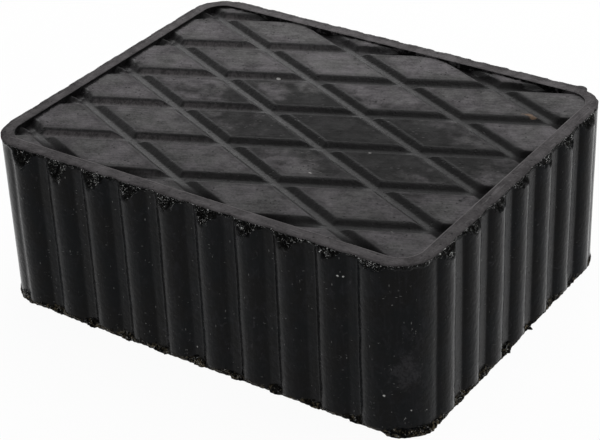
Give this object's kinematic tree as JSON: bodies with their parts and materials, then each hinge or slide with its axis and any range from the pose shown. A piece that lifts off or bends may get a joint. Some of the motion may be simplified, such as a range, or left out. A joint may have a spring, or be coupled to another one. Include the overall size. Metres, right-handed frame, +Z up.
{
  "type": "lift rubber pad",
  "caption": "Rectangular moulded rubber block that sits between a vehicle lift's platform or arm and the car, with ribbed sides and a lozenge tread inside a raised rim.",
  "frame": {"origin": "middle of the flat underside, on the surface that the pad stands on", "axes": "+X along the long side, +Y along the short side, +Z up through the tread"},
  "size_m": [0.16, 0.126, 0.0585],
  "materials": {
    "rubber": "matt on the tread, satin on the ribbed sides"
  },
  "bodies": {
    "root": {"rubber_pad": "rubber"}
  },
  "joints": []
}
